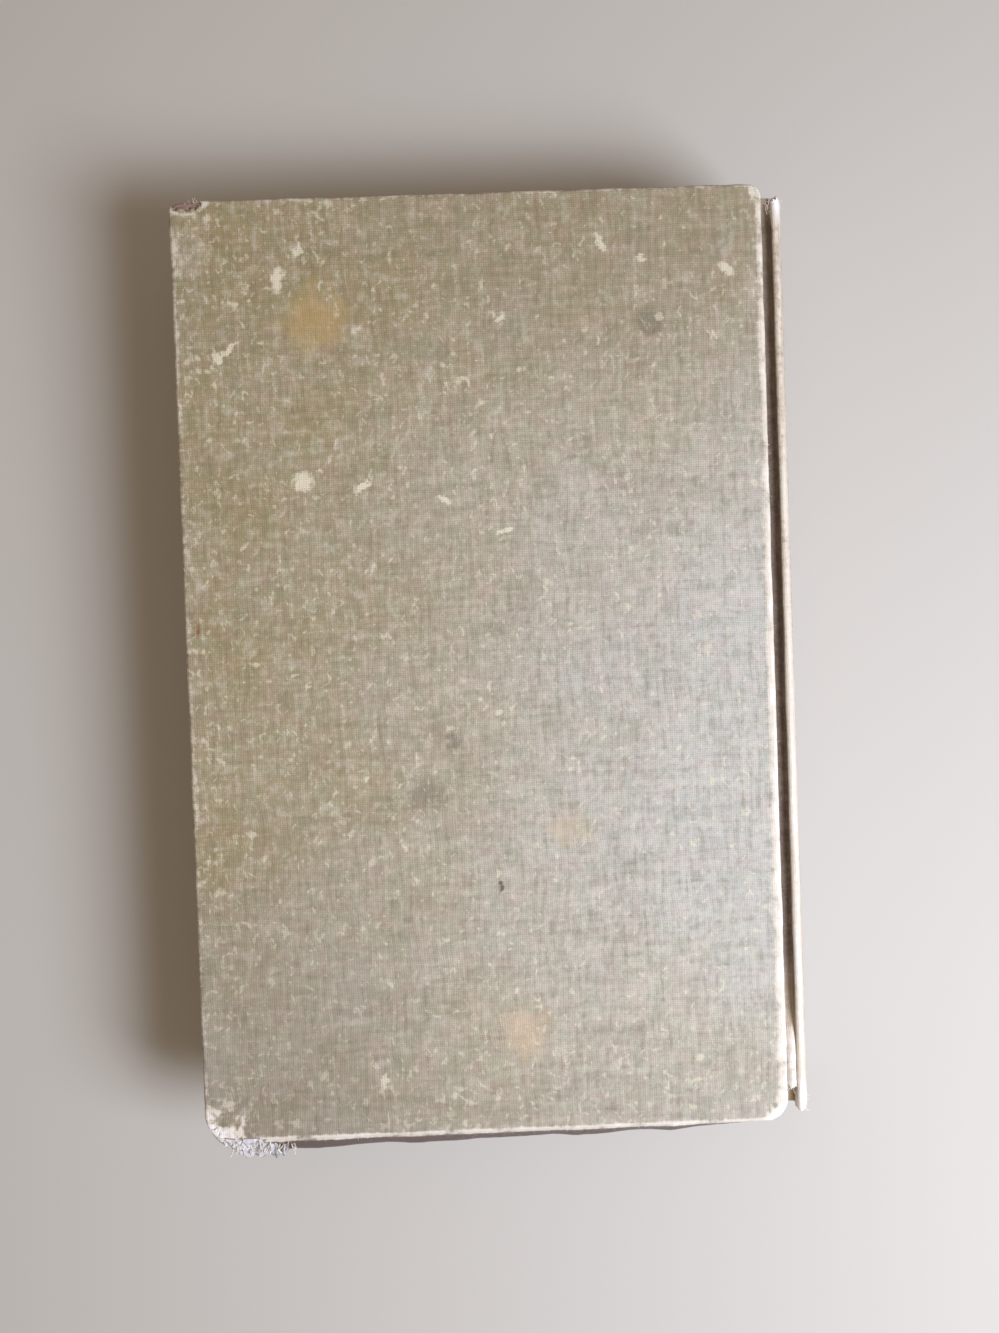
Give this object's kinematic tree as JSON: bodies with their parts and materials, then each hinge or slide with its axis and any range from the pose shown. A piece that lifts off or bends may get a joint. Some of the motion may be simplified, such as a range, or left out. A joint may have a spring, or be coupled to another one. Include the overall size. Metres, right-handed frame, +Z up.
{
  "type": "hardback book",
  "caption": "Closed octavo hardback book in worn plain olive-tan cloth: rounded spine, pressed joints, hinged covers, sewn leaves.",
  "frame": {"origin": "on the table under the middle of the closed book, which lies on its front cover", "axes": "+X from the fore edge to the spine, +Y from the tail to the head, +Z up from the front cover to the back cover"},
  "size_m": [0.1252, 0.19, 0.028],
  "materials": {
    "leaves": "aged uncoated book paper, cut edges slightly soiled",
    "endpaper": "aged plain wove paper",
    "cloth": "faded plain-weave book cloth, worn and flecked",
    "board": "grey-brown millboard",
    "kraft": "brown kraft lining paper",
    "gauze": "sized open cotton gauze",
    "thread": "unbleached linen thread",
    "headband": "cotton headband, two faded colours"
  },
  "bodies": {
    "leaves_and_spine": {"text_block": "leaves", "sewing_thread": "thread", "head_band": "headband", "tail_band": "headband", "spine_gauze": "gauze", "spine_kraft": "kraft", "spine_card": "board", "spine_cloth": "cloth", "back_flyleaf": "endpaper", "front_flyleaf": "endpaper", "back_joint_cloth": "cloth", "front_joint_cloth": "cloth"},
    "back_cover": {"back_board": "board", "back_cloth": "cloth", "back_gauze_flange": "gauze", "back_pastedown": "endpaper"},
    "front_cover": {"front_board": "board", "front_cloth": "cloth", "front_gauze_flange": "gauze", "front_pastedown": "endpaper"}
  },
  "joints": [
    {"name": "back_cover_hinge", "type": "hinge", "parent": "leaves_and_spine", "child": "back_cover", "pos_m": [0.0583, 0, 0.028], "axis": [0, 1, 0], "range_deg": [0, 180], "deforming": ["back_joint_cloth"]},
    {"name": "front_cover_hinge", "type": "hinge", "parent": "leaves_and_spine", "child": "front_cover", "pos_m": [0.0583, 0, 0], "axis": [0, -1, 0], "range_deg": [0, 180], "deforming": ["front_joint_cloth"]}
  ]
}
